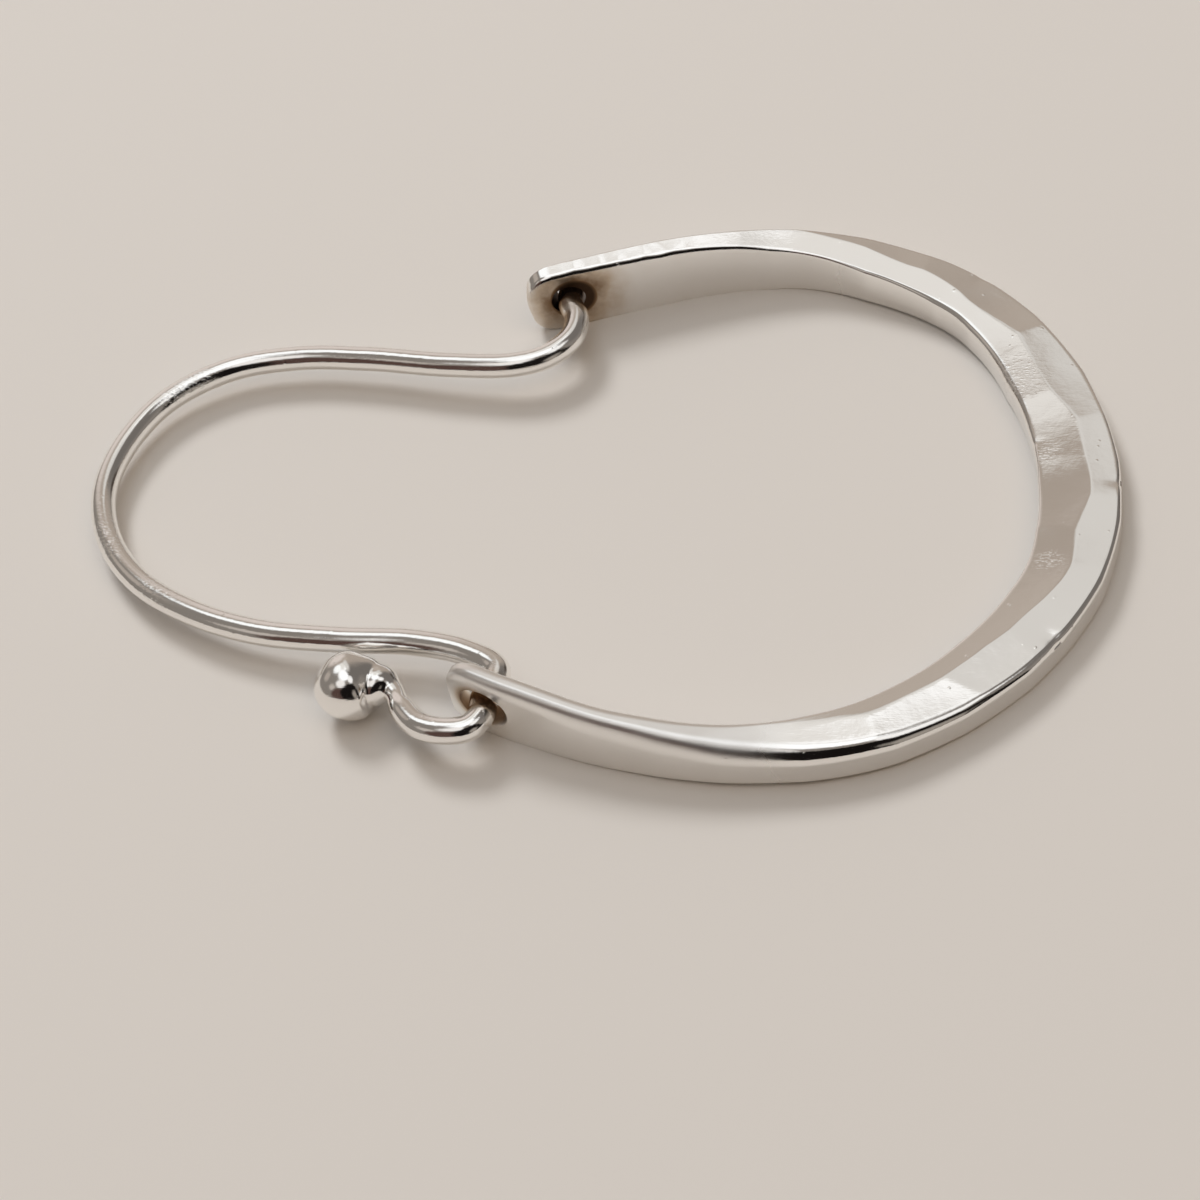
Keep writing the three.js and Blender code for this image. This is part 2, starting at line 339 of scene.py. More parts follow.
def crowd_ends(place):
    """Slices close up towards both ends, where the bar turns round quickly."""
    length = hoop_along[-1]
    from_end = np.minimum(place, length - place)
    crowded = np.where(from_end < END_ROUNDING,
                       END_ROUNDING * (1 - np.cos(np.pi / 2 * from_end / END_ROUNDING)), from_end)
    return np.where(place < length / 2, crowded, length - crowded)


def middle_height(place):
    """Height of the bar's middle line, so that its tabs and its belly touch the table."""
    x = along_hoop(place, "x")
    tab_height = np.where(place < hoop_along[-1] / 2,
                          HOOP_SECTIONS[0]["height"], HOOP_SECTIONS[-1]["height"])
    share = np.clip(x / belly["x"], 0, 1)
    return tab_height / 2 + (belly["height"] - tab_height) / 2 * share - STANDING_FLAT


def wander(random, place, wavelengths, amount):
    """A gentle irregular wave along the bar."""
    waves = [np.sin(2 * np.pi * (place / length + random.uniform())) for length in wavelengths]
    return amount * sum(waves) / len(waves)


def forge(piece):
    """Where forging puts each point of the bar, and what the hammer needs to know there."""
    places = points_of(piece)
    along = crowd_ends(places[:, 0])
    p, q = 2 * places[:, 1], 2 * places[:, 2]
    shell = np.maximum(np.maximum(abs(p), abs(q)), 1e-9)
    p, q = p / shell, q / shell
    above, side = q > 0, np.sign(p)
    half_width = along_hoop(along, "width") / 2 * end_share(along, END_WIDTH_SHARE)
    half_height = along_hoop(along, "height") / 2 * end_share(along, END_HEIGHT_SHARE)
    rounding = np.where(p > 0, along_hoop(along, "outer_round"), along_hoop(along, "inner_round"))
    rounding = np.where(above, rounding, UNDER_ROUND)
    rounding = np.minimum(rounding, ROUND_LIMIT * np.minimum(half_width, half_height))
    random = np.random.default_rng(CREST_SEED)
    wave = wander(random, along, CREST_WAVES, CREST_WANDER)
    crest = (along_hoop(along, "crest") + wave) * half_width
    pitch = np.tan(np.radians(along_hoop(along, "pitch")))

    on_side = abs(p) > abs(q) - 1e-9
    share = np.where(on_side, abs(q), abs(p))
    turn = np.pi / 4 * np.clip((share - FLAT_SHARE) / (1 - FLAT_SHARE), 0, 1)
    flat = np.clip(share / FLAT_SHARE, 0, 1)
    core = half_width - rounding
    stretch = np.where((p > 0) & above, along_hoop(along, "outer_stretch"), 1)
    tall = np.minimum(rounding * stretch, ROUND_LIMIT * half_height)
    ridge = np.clip(crest, -RIDGE_FROM_EDGE * core, RIDGE_FROM_EDGE * core)
    over_top = ridge + (side * core - ridge) * flat ** RIDGE_CROWDING + side * rounding * np.sin(turn)
    across = np.where(on_side, side * (core + rounding * np.cos(turn)), over_top)
    drop = pitch * (np.sqrt((across - crest) ** 2 + RIDGE_SOFTNESS ** 2) - RIDGE_SOFTNESS)
    drop = np.where(above, drop, 0)
    edge = half_height - drop - tall
    up = np.where(on_side, edge * flat + tall * np.sin(turn), edge + tall * np.cos(turn))
    up = up * np.where(above, 1, -1)
    ends = np.where(along < hoop_along[-1] / 2, -1, 1) * END_BULGE * (1 - shell ** 2)
    facing_out = np.where(on_side, np.cos(turn), np.sin(turn)) * side
    facing_up = np.where(on_side, np.sin(turn), np.cos(turn)) * np.where(above, 1, -1)
    formed = np.stack([along + ends, across * shell, up * shell], axis=1)
    return formed, along, half_width, crest, pitch, drop, facing_out, facing_up


forged, along, half_width, crest, pitch, drop, facing_out, facing_up = forge(hoop)
print("forged bar mm", np.round(forged.min(0), 2), np.round(forged.max(0), 2))

# %% [markdown]
# Hammer marks are what this earring is about. Each blow of a slightly domed hammer leaves a
# shallow dish, and what is left standing between two blows is a soft ridge. So the surface is
# the lowest of many dishes at each point, with the corners where dishes meet eased a little. A
# noise texture would look like orange peel. One row of blows runs along each slope of the
# roof, and one along each wall, which gives the hoop its slightly cornered outline. The long
# ridge on top is where the dishes of the two slopes meet. The thin tab at the latch has a row
# of small blows from the hammer's edge as well, and wear has left a few nicks.

# %% How it is hammered
HAMMER_SEED = 7
EASING = 0.0014           # mm over which the corner between two dishes is eased
RIDGE_EASING = 0.004      # the same for the ridge along the top
BLOW_REACH = 9            # a blow counts no further than this along the bar
NO_BLOW = 9               # a height too great to be the lowest anywhere
EDGE_BLOWS_TO = 8.5       # the small blows stop at this distance from the latch's end
EDGE_FADE_FROM = 6.0      # and grow shallower from here on, by this much for each mm
EDGE_FADE = 0.02
NICKS = [
    # place on the outer or inner edge (side 1 or -1), its size and its depth
    dict(x=21.4, y=0.6, side=1, size=0.26, depth=0.035),
    dict(x=19.6, y=-6.4, side=1, size=0.30, depth=0.04),
    dict(x=20.8, y=3.0, side=-1, size=0.20, depth=0.02),
    dict(x=16.2, y=10.6, side=1, size=0.25, depth=0.025),
]


# %% Rows of blows
def blow_row(random, spacing, jitter, end=None):
    """Places of one row of blows along the bar. jitter is how unevenly they are spaced."""
    places = [-spacing]
    while places[-1] < (end or hoop_along[-1] + spacing):
        places.append(places[-1] + spacing * (1 + jitter * random.uniform(-1, 1)))
    return places


def dishes(random, places, aside, dome_along, dome_across, depth, tilt):
    """Heights that each blow of a row leaves at every point. aside is the points' distance
    from the row, a dome is the hammer's radius in that direction, and each blow's depth and
    tilt, in mm and degrees, are drawn at random."""
    heights = []
    for place in places:
        lean_along, lean_across = np.tan(np.radians(random.uniform(-tilt, tilt, 2)))
        ahead = along - place
        height = (random.uniform(*depth) + ahead ** 2 / (2 * dome_along)
                  + aside ** 2 / (2 * dome_across) + lean_along * ahead + lean_across * aside)
        heights.append(np.where(abs(ahead) < BLOW_REACH, height, NO_BLOW))
    return heights


def lowest(heights, easing):
    """The lowest of several heights, with the corners between them eased."""
    heights = np.array(heights)
    least = heights.min(0)
    return least - easing * np.log(np.exp(-(heights - least) / easing).sum(0))


def hammer_top(random):
    """Height of the hammered top over the plain roof at every point."""
    across = forged[:, 1]
    outer_blows = blow_row(random, spacing=3.3, jitter=0.55)
    outer_row = dishes(random, outer_blows, across - (crest + half_width) / 2,
                       dome_along=60, dome_across=30, depth=(0, 0.012), tilt=1.3)
    inner_blows = blow_row(random, spacing=3.6, jitter=0.55)
    inner_row = dishes(random, inner_blows, across - (crest - half_width) / 2,
                       dome_along=110, dome_across=30, depth=(0, 0.010), tilt=0.65)
    edge_blows = blow_row(random, spacing=1.2, jitter=0.4, end=EDGE_BLOWS_TO)
    edge_row = dishes(random, edge_blows, across + half_width,
                      dome_along=6, dome_across=12, depth=(-0.035, -0.015), tilt=1.0)
    fading = EDGE_FADE * np.clip(along - EDGE_FADE_FROM, 0, None)
    edge_row = [height + fading for height in edge_row]
    outer_slope = lowest(outer_row, EASING) - pitch * (across - crest)
    inner_slope = lowest(inner_row + edge_row, EASING) + pitch * (across - crest)
    return lowest([outer_slope, inner_slope], RIDGE_EASING) + drop


def hammer_wall(random, spacing, dome, depth, tilt):
    """What one row of blows took off a wall, as depths."""
    blows = blow_row(random, spacing, jitter=0.45)
    wall = lowest(dishes(random, blows, 0 * along, dome, dome, depth, tilt), EASING)
    return wall.max() - wall


def nick(places, x, y, side, size, depth):
    """Press a small nick into one upper edge."""
    nearest = np.argmin(np.hypot(hoop_line[:, 0] - x, hoop_line[:, 1] - y))
    ahead = along - hoop_along[nearest]
    aside = places[:, 1] - side * half_width
    pressed = depth * np.exp(-(ahead ** 2 + (aside / 2) ** 2) / size ** 2) * (facing_up > 0.2)
    places[:, 1] -= side * pressed * np.clip(side * facing_out, 0, 1)
    places[:, 2] -= pressed


# %% Hammer it
hammer_draws = np.random.default_rng(HAMMER_SEED)
top = hammer_top(hammer_draws)
off_top = (top[facing_up > 0.9].max() - top) * np.clip(facing_up, 0, 1)
off_outer = hammer_wall(hammer_draws, spacing=2.4, dome=30, depth=(0, 0.016), tilt=0.6)
off_inner = hammer_wall(hammer_draws, spacing=3.4, dome=45, depth=(0, 0.02), tilt=0.5)
how_much = np.clip(along_hoop(along, "hammered"), 0, 1)
hammered = forged.copy()
hammered[:, 2] -= how_much * off_top
hammered[:, 1] -= how_much * off_outer * np.clip(facing_out, 0, 1)
hammered[:, 1] += how_much * off_inner * np.clip(-facing_out, 0, 1)
for place in NICKS:
    nick(hammered, **place)
hammered[:, 2] = np.maximum(hammered[:, 2] + middle_height(along), 0)
move_points(hoop, hammered)
for name, depths in (("top", off_top), ("outer wall", off_outer), ("inner wall", off_inner)):
    print("deepest mark in mm on the", name, round(float(depths.max()), 3))

# %% [markdown]
# The bar is bent while it is still whole, and drilled afterwards, as at the bench: a hole bent
# with its bar would be pulled out of round. The drill is a cylinder whose ends flare, because a
# jeweller takes the sharp rim off with a larger drill. The Boolean modifier cuts it away.

# %% Bend and drill
DRILL_SIDES = 72
TAB_WIDTH = 0.90           # width of both tabs where they are drilled
SNUG = 0.15                # the latch hole is drilled this much under size, for a snug fit
RIM_WIDTH = 0.07           # the flare starts this far inside the tab, both sides together
FLARE_LENGTH = 0.6
FLARE = 1.16               # how much wider each flared end gets over its length


def drill_tab(piece, y, diameter):
    """Cut one hole along Y through the tab whose middle is at y."""
    bpy.ops.object.select_all(action="DESELECT")
    bpy.ops.mesh.primitive_cylinder_add(vertices=DRILL_SIDES, radius=diameter / 2,
                                        depth=TAB_WIDTH - RIM_WIDTH, end_fill_type="NGON",
                                        location=(0, y, hinge.z / MM), rotation=(math.pi / 2, 0, 0))
    drill = bpy.context.object
    bpy.ops.object.transform_apply(location=True, rotation=True, scale=True)
    bpy.ops.object.mode_set(mode="EDIT")
    for side in (-1, 1):
        bpy.ops.mesh.select_mode(type="FACE")
        bpy.ops.mesh.select_all(action="DESELECT")
        mesh = bmesh.from_edit_mesh(drill.data)
        for face in mesh.faces:
            face.select_set(face.normal.y * side > 0.9)
        bmesh.update_edit_mesh(drill.data)
        outwards = (0, side * FLARE_LENGTH, 0)
        bpy.ops.mesh.extrude_region_move(TRANSFORM_OT_translate={"value": outwards})
        bpy.ops.transform.resize(value=(FLARE, 1, FLARE))
    bpy.ops.object.mode_set(mode="OBJECT")
    apply_modifier(piece, "BOOLEAN", object=drill, operation="DIFFERENCE", solver="EXACT")
    bpy.data.objects.remove(drill)


bend_along(hoop, hoop_line)
drill_tab(hoop, LATCH_HOLE_Y, LATCH_HOLE_DIAMETER - SNUG)
drill_tab(hoop, PIVOT_HOLE_Y, PIVOT_HOLE_DIAMETER)
only(hoop)
bpy.ops.object.shade_smooth_by_angle(angle=SMOOTH_BELOW)
to_metres(hoop)

# %% [markdown]
# ## The ear wire
#
# The ear wire starts as a cylinder. Its points keep their direction from the axis, and only
# their distance from it changes along the length: the wire's own radius, and at the far end a
# swelling for the ball and a smaller one for its neck. A real ball is made by melting the end
# of the wire, so it has no seam, and neither has this one.

# %% How thick the wire is
WIRE_SIDES = 48
WIRE_SLICES = (30, 24)         # parts along its length, first cut and second cut
BALL_SLICES = 90               # slices kept for the ball and its neck
BALL_REACH = 1.4               # how far beyond the ball those slices reach
TIP_CHAMFER = 0.09
TIP_SLICES = 4
NECK_FROM_BALL = 1.05          # places along the wire, counted back from the ball's middle
WAIST_FROM_BALL = 2.25
WAIST_LENGTH = 0.42
WAIST_DEPTH = 0.10             # where the flame ran, the wire is this much thinner in radius
MELT_SOFTNESS = 0.05           # mm over which wire, neck and ball melt into each other
MELTED_FROM_BALL = 2.6         # where the melting starts, over a length of
MELT_FADE_IN = 0.6
MELT_FADE_OUT = 0.4            # and the length over which it ends, at the ball's pole
melt_centre = wire_along[-1] - BALL_DIAMETER / 2


def wire_radius(place):
    """Radius of the wire at a distance along it."""
    def lump(centre, diameter):
        return np.sqrt(np.maximum((diameter / 2) ** 2 - (place - centre) ** 2, 0))
    wire = np.where(place < melt_centre, WIRE_DIAMETER / 2, 0)
    from_waist = place - (melt_centre - WAIST_FROM_BALL)
    waist = WAIST_DEPTH * np.exp(-(from_waist / WAIST_LENGTH) ** 2)
    parts = np.stack([wire - waist, lump(melt_centre - NECK_FROM_BALL, NECK_DIAMETER),
                      lump(melt_centre, BALL_DIAMETER)])
    sharp = parts.max(0)
    joined = MELT_SOFTNESS * np.log(np.exp(parts / MELT_SOFTNESS).sum(0) / 2)
    melted = np.clip((place - (melt_centre - MELTED_FROM_BALL)) / MELT_FADE_IN, 0, 1)
    melted *= np.clip((wire_along[-1] - place) / MELT_FADE_OUT, 0, 1)
    radius = sharp + (joined - sharp) * melted
    return np.maximum(radius - TIP_CHAMFER * np.clip(1 - place / TIP_CHAMFER, 0, 1), 0)


def draw_wire():
    """A straight cylinder along X, of radius one, cut into even slices."""
    length = wire_along[-1]
    bpy.ops.object.select_all(action="DESELECT")
    bpy.ops.mesh.primitive_cylinder_add(vertices=WIRE_SIDES, radius=1, depth=length,
                                        end_fill_type="TRIFAN", location=(length / 2, 0, 0),
                                        rotation=(0, math.pi / 2, 0))
    wire = bpy.context.object
    wire.name = "ball_end_wire"
    bpy.ops.object.transform_apply(location=True, rotation=True, scale=True)
    bpy.ops.object.mode_set(mode="EDIT")
    for parts in WIRE_SLICES:
        select_edges_along(wire, 0)
        bpy.ops.mesh.subdivide(number_cuts=parts - 1)
    bpy.ops.object.mode_set(mode="OBJECT")
    return wire


def slice_places():
    """Where each slice goes: close at the tip's chamfer, even along the wire, then closing up
    towards the ball's pole."""
    count = WIRE_SLICES[0] * WIRE_SLICES[1] + 1
    reach = BALL_DIAMETER / 2 + BALL_REACH
    ball = wire_along[-1] - reach * (1 - np.sin(np.linspace(0, np.pi / 2, BALL_SLICES)))
    tip = np.linspace(0, TIP_CHAMFER, TIP_SLICES)
    plain = np.linspace(TIP_CHAMFER, ball[0], count - BALL_SLICES - TIP_SLICES + 2)[1:-1]
    return np.concatenate([tip, plain, ball])


# %% Draw the wire
wire = draw_wire()
places = points_of(wire)
slices = np.round(places[:, 0] / wire_along[-1] * WIRE_SLICES[0] * WIRE_SLICES[1]).astype(int)
at = slice_places()[slices]
on_rim = np.hypot(places[:, 1], places[:, 2]) > 0.5       # all points but the two ends' middles
radius = np.where(on_rim, wire_radius(at), 0)
straight = np.column_stack([at, places[:, 1:] * radius[:, None]])
print("slices", slices.max() + 1, "widest mm", round(2 * float(radius.max()), 2))

# %% [markdown]
# Silver that froze in the flame isn't an even ball. A few wide dents all over it, and many
# small ones where it ran back onto the wire, make its reflections break up as they should.
# The last ring of points has shrunk to the ball's pole and is merged there. The finished wire is
# bent along its route, and turned about the hinge line until its ball rests on the table.

# %% Dents in the ball
POLE_MERGE = 0.0002            # points nearer than this, at the ball's pole, become one
DENT_SEED = 4
DENTS = [
    # how many, how wide in radians, how deep as a share of the ball's radius, and how much
    # they gather towards the neck
    dict(count=16, spread=(0.32, 0.60), depth=(0.015, 0.050), gather=0.3),
    dict(count=26, spread=(0.14, 0.26), depth=(0.010, 0.030), gather=1.6),
]
DENTED_BEYOND = 1.3            # the dents fade out over this distance from the ball
FLATS = [
    # sides on which the soft ball sagged: their direction from its middle, width and depth
    dict(toward=(-0.64, 0.48, 0.60), spread=0.50, depth=0.060),
    dict(toward=(0.10, 0.30, 0.95), spread=0.40, depth=0.025),
]


def dented(places):
    """The wire's points with dents pressed into the ball and its neck."""
    random = np.random.default_rng(DENT_SEED)
    middle = np.array([melt_centre, 0, 0])
    away = places - middle
    reach = np.linalg.norm(away, axis=1)
    direction = away / np.maximum(reach, 1e-9)[:, None]
    factor = np.ones(len(places))
    for flat in FLATS:
        angle = np.arccos(np.clip(direction @ Vector(flat["toward"]).normalized(), -1, 1))
        factor -= flat["depth"] * np.exp(-(angle / flat["spread"]) ** 2)
    for group in DENTS:
        for dent in range(group["count"]):
            toward = random.normal(size=3) - np.array([group["gather"], 0, 0])
            toward /= np.linalg.norm(toward)
            angle = np.arccos(np.clip(direction @ toward, -1, 1))
            spread = random.uniform(*group["spread"])
            factor -= random.uniform(*group["depth"]) * np.exp(-(angle / spread) ** 2)
    near = np.clip(1 - (reach - BALL_DIAMETER / 2) / DENTED_BEYOND, 0, 1)
    return middle + away * (1 + (factor - 1) * near)[:, None]


# %% Dent the ball, bend the wire
move_points(wire, dented(straight))
only(wire)
bpy.ops.object.mode_set(mode="EDIT")
bpy.ops.mesh.select_all(action="SELECT")
bpy.ops.mesh.remove_doubles(threshold=POLE_MERGE)
bpy.ops.object.mode_set(mode="OBJECT")
bend_along(wire, wire_line)
droop = math.atan2(hinge.z / MM - BALL_DIAMETER / 2, -BALL_X)
only(wire)
wire.rotation_euler = (0, -droop, 0)
wire.location = (0, 0, hinge.z / MM)
bpy.ops.object.transform_apply(location=True, rotation=True, scale=True)
bpy.ops.object.shade_smooth_by_angle(angle=SMOOTH_BELOW)
to_metres(wire)

# %% [markdown]
# ## Silver
#
# Sterling silver is almost a mirror: it has no colour of its own beyond a slight warmth, and
# shows the room instead. What tells it from chrome is its fine wear, so each finish is a metal
# whose roughness and bump carry fine scratches and pits, and a brown tarnish where polishing
# never reaches, round the holes. Patterns read Object coordinates, so that they stay on the
# silver when it moves. These are metres, so each scale is worked out from a size in millimetres.

# %% Helpers for materials
def colour(sheet):
    """An sRGB hex value such as 'd9d5cf' as a linear colour with alpha."""
    channels = [int(sheet[k:k + 2], 16) / 255 for k in (0, 2, 4)]
    return [c / 12.92 if c <= 0.04045 else ((c + 0.055) / 1.055) ** 2.4 for c in channels] + [1.0]


def add_node(tree, kind, links=(), **settings):
    """Add a node, set its settings and the inputs named by their labels, and link its inputs."""
    node = tree.nodes.new(kind)
    for name, value in settings.items():
        if hasattr(node, name):
            setattr(node, name, value)
        else:
            node.inputs[name.replace("_", " ")].default_value = value
    for name, source in dict(links).items():
        tree.links.new(source, node.inputs[name])
    return node


def per_mm(size):
    """Scale of a pattern on coordinates in metres whose features are this many mm across."""
    return 1 / (size * MM)


def ramp(tree, source, stops):
    """A colour ramp from (position, colour) stops."""
    node = add_node(tree, "ShaderNodeValToRGB", {"Fac": source})
    elements = node.color_ramp.elements
    while len(elements) < len(stops):
        elements.new(0.5)
    for element, (position, shade) in zip(elements, stops):
        element.position = position
        element.color = shade
    return node


def new_material(name):
    """A material with an empty node tree."""
    material = bpy.data.materials.new(name)
    material.use_nodes = True
    material.node_tree.nodes.clear()
    return material


# %% [markdown]
# Tarnish is silver sulphide. It goes from straw to brown, and sits in the holes and on the metal
# beside them. Distance from each hole's middle gives its place, and noise an uneven edge.

# %% Tarnish round the holes
HOLES = [
    # middle of each hole, where its darkest tarnish ends and how far the rest spreads, in mm
    dict(y=LATCH_HOLE_Y, dark=0.95, reach=2.9),
    dict(y=PIVOT_HOLE_Y, dark=0.60, reach=1.4),
]
SPREAD_FROM = 0.4               # mm from a hole's middle where the spread tarnish is strongest
DARK_TO = 1.3                   # and where the darkest has gone


def combine(tree, operation, first, second):
    """A Math node on two inputs, each a socket or a number."""
    node = add_node(tree, "ShaderNodeMath", operation=operation)
    for k, source in enumerate((first, second)):
        if isinstance(source, (int, float)):
            node.inputs[k].default_value = source
        else:
            tree.links.new(source, node.inputs[k])
    return node.outputs[0]


def between(tree, value, low, high, at_low=0.0, at_high=1.0, smooth=False):
    """Map a value's range to another range, and hold it at both ends."""
    node = add_node(tree, "ShaderNodeMapRange", {"Value": value}, From_Min=low, From_Max=high,
                    To_Min=at_low, To_Max=at_high)
    node.interpolation_type = "SMOOTHSTEP" if smooth else "LINEAR"
    return node.outputs[0]


def nearness(tree, position, x, y, z, near, far):
    """1 nearer than near to a point, falling to 0 at far, all in mm from the hinge line."""
    apart = add_node(tree, "ShaderNodeVectorMath", {0: position}, operation="DISTANCE")
    apart.inputs[1].default_value = (hinge.x + x * MM, hinge.y + y * MM, z * MM)
    return between(tree, apart.outputs["Value"], near * MM, far * MM, 1.0, 0.0, smooth=True)


def tarnish(tree, position, upright):
    """1 in either hole, and falling unevenly to 0 over the upright faces round it."""
    noise = add_node(tree, "ShaderNodeTexNoise", {"Vector": position}, Scale=per_mm(0.9), Detail=4)
    uneven = between(tree, noise.outputs["Fac"], 0.35, 0.65, at_low=0.35, at_high=0.75)
    amounts = []
    for hole in HOLES:
        place = (0, hole["y"], hinge.z / MM)
        spread = nearness(tree, position, *place, SPREAD_FROM, hole["reach"])
        spread = combine(tree, "MULTIPLY", combine(tree, "MULTIPLY", spread, uneven), upright)
        amounts += [spread, nearness(tree, position, *place, hole["dark"], DARK_TO)]
    return combine(tree, "MAXIMUM", combine(tree, "MAXIMUM", *amounts[:2]),
                   combine(tree, "MAXIMUM", *amounts[2:]))


# %% [markdown]
# Wear is what tells silver from chrome. Hand polishing leaves it faintly mottled and covered
# in hairlines that only show where they catch the light. Worn places carry short scuffs, and
# here and there lies a speck where grit was pressed in. Each is a pattern in the height of the
# surface. Real hairlines are about 0.02 mm wide, and are drawn coarser so that they show.

# %% Wear in the surface
MOTTLE_SIZE = 0.55              # all sizes in mm
HAIRLINE_SIZE = (0.05, 0.6)     # width and length
SPECK_CELL = 0.6                # a speck lies in about four of ten cells of this size
WORN_HEIGHT = 1.4               # above the table
WORN_PLACES = [
    # middle of each worn place and its reach, in mm
    dict(x=18.6, y=6.0, near=0.4, far=1.7),
    dict(x=19.9, y=2.2, near=0.2, far=0.9),
    dict(x=20.3, y=-3.4, near=0.2, far=0.9),
    dict(x=-15.6, y=5.6, near=0.5, far=2.0),
    dict(x=-16.9, y=-2.7, near=0.5, far=2.0),
    dict(x=-14.0, y=-5.5, near=0.3, far=1.6),
]


def bumped(tree, height, depth, normal=None):
    """A Bump node whose full height is a depth in mm."""
    links = {"Height": height}
    if normal:
        links["Normal"] = normal
    return add_node(tree, "ShaderNodeBump", links, Strength=1.0, Distance=depth * MM).outputs[0]


def streaks(tree, position, turn, width, length):
    """Noise drawn out along X, by its width and length in mm. It is turned after that, only
    so that no two of them are alike."""
    laid = add_node(tree, "ShaderNodeMapping", {"Vector": position})
    laid.inputs["Rotation"].default_value = (0, 0, turn)
    laid.inputs["Scale"].default_value = (width / length, 1, 1)
    return add_node(tree, "ShaderNodeTexNoise", {"Vector": laid.outputs[0]},
                    Scale=per_mm(width), Detail=2).outputs["Fac"]


def worn(tree, position, mottle, hairline, scuff, speck):
    """The surface's normal with its wear. The four depths are in mm."""
    cloudy = add_node(tree, "ShaderNodeTexNoise", {"Vector": position},
                      Scale=per_mm(MOTTLE_SIZE), Detail=3, Roughness=0.55)
    normal = bumped(tree, cloudy.outputs["Fac"], mottle)

    hairlines = combine(tree, "MULTIPLY", streaks(tree, position, 0.5, *HAIRLINE_SIZE),
                        streaks(tree, position, 2.0, *HAIRLINE_SIZE))
    normal = bumped(tree, hairlines, hairline, normal)

    places = None
    for place in WORN_PLACES:
        here = nearness(tree, position, z=WORN_HEIGHT, **place)
        places = combine(tree, "MAXIMUM", places, here) if places else here
    scuffs = combine(tree, "MAXIMUM", streaks(tree, position, 2.6, width=0.09, length=0.30),
                     streaks(tree, position, 1.1, width=0.09, length=0.24))
    deep = between(tree, scuffs, 0.56, 0.72)
    normal = bumped(tree, combine(tree, "MULTIPLY", deep, places), scuff, normal)

    cells = add_node(tree, "ShaderNodeTexVoronoi", {"Vector": position}, Scale=per_mm(SPECK_CELL))
    chance = add_node(tree, "ShaderNodeSeparateColor", {"Color": cells.outputs["Color"]})
    few = between(tree, chance.outputs[0], 0.55, 0.60)
    spot = between(tree, cells.outputs["Distance"], 0.04, 0.14, 1.0, 0.0, smooth=True)
    return bumped(tree, combine(tree, "MULTIPLY", few, spot), speck, normal)


# %% [markdown]
# Each finish is a metal. Its roughness is cloudy, because hand polishing is never even. The two
# tabs keep the satin of fine emery paper, the pivot's all round and the latch's only on its
# upright faces, which the object-space normal tells from the top.

# %% Silver
CLOUD_SIZE = 2.4                # mm across the clouds in the polish
SATIN_TO = (10.0, 12.5)         # mm from the hinge line where the tabs' satin finish fades out
TARNISH_ROUGHNESS = 0.2         # added where the tarnish is full


def silver(name, polish, satin_roughness, stain, mottle, hairline, scuff, speck):
    """Sterling silver. polish is its lowest and highest roughness, satin_roughness is added on
    the tabs, stain is the share of tarnish, and the depths of its wear are in mm."""
    material = new_material(name)
    tree = material.node_tree
    coordinates = add_node(tree, "ShaderNodeTexCoord")
    position = coordinates.outputs["Object"]

    clouds = add_node(tree, "ShaderNodeTexNoise", {"Vector": position},
                      Scale=per_mm(CLOUD_SIZE), Detail=4, Roughness=0.6)
    rough = between(tree, clouds.outputs["Fac"], 0.38, 0.68, *polish)

    place = add_node(tree, "ShaderNodeSeparateXYZ", {"Vector": position})
    facing = add_node(tree, "ShaderNodeSeparateXYZ", {"Vector": coordinates.outputs["Normal"]})
    near_hinge = between(tree, place.outputs["X"], hinge.x + SATIN_TO[0] * MM,
                         hinge.x + SATIN_TO[1] * MM, 1.0, 0.0, smooth=True)
    upright = between(tree, facing.outputs["Z"], 0.25, 0.6, 1.0, 0.0)
    at_pivot = between(tree, place.outputs["Y"], -1 * MM, 1 * MM, 1.0, 0.0)
    satin = combine(tree, "MULTIPLY", near_hinge, combine(tree, "MAXIMUM", upright, at_pivot))
    rough = combine(tree, "ADD", rough, combine(tree, "MULTIPLY", satin, satin_roughness))

    amount = combine(tree, "MULTIPLY", tarnish(tree, position, upright), stain)
    rough = combine(tree, "ADD", rough, combine(tree, "MULTIPLY", amount, TARNISH_ROUGHNESS))
    tone = ramp(tree, amount, [(0.0, colour("f8f6f3")), (0.30, colour("d3c3b0")),
                               (0.6, colour("8f7358")), (1.0, colour("4a382a"))])
    normal = worn(tree, position, mottle, hairline, scuff, speck)
    shader = add_node(tree, "ShaderNodeBsdfPrincipled", {"Base Color": tone.outputs["Color"],
                      "Roughness": rough, "Normal": normal}, Metallic=1.0)
    add_node(tree, "ShaderNodeOutputMaterial", {"Surface": shader.outputs[0]})
    return material


hammered_sterling = silver("hammered_sterling", polish=(0.07, 0.15), satin_roughness=0.23,
                           stain=1.0, mottle=0.005, hairline=0.0014, scuff=0.0045, speck=0.006)
drawn_sterling = silver("drawn_sterling", polish=(0.08, 0.16), satin_roughness=0,
                        stain=0.4, mottle=0.004, hairline=0.003, scuff=0.006, speck=0.004)
for piece, material in ((hoop, hammered_sterling), (wire, drawn_sterling)):
    piece.data.materials.clear()
    piece.data.materials.append(material)
print("materials", hammered_sterling.name, drawn_sterling.name)

# %% [markdown]
# ## Light
#
# Polished metal is lit by what it reflects. The room is drawn as a world whose brightness
# depends on direction: pale softboxes and a ceiling light above, warm grey walls below them, and
# a dark screen and curtain on the camera's side, which draw the black lines that make silver
# look like silver. Two lamps light the floor and show in no reflection: a soft key from the far
# left, which makes the gentle shadows, and a wide warm fill from the right.

# %% Room
WALL_SHADE = "7b756f"
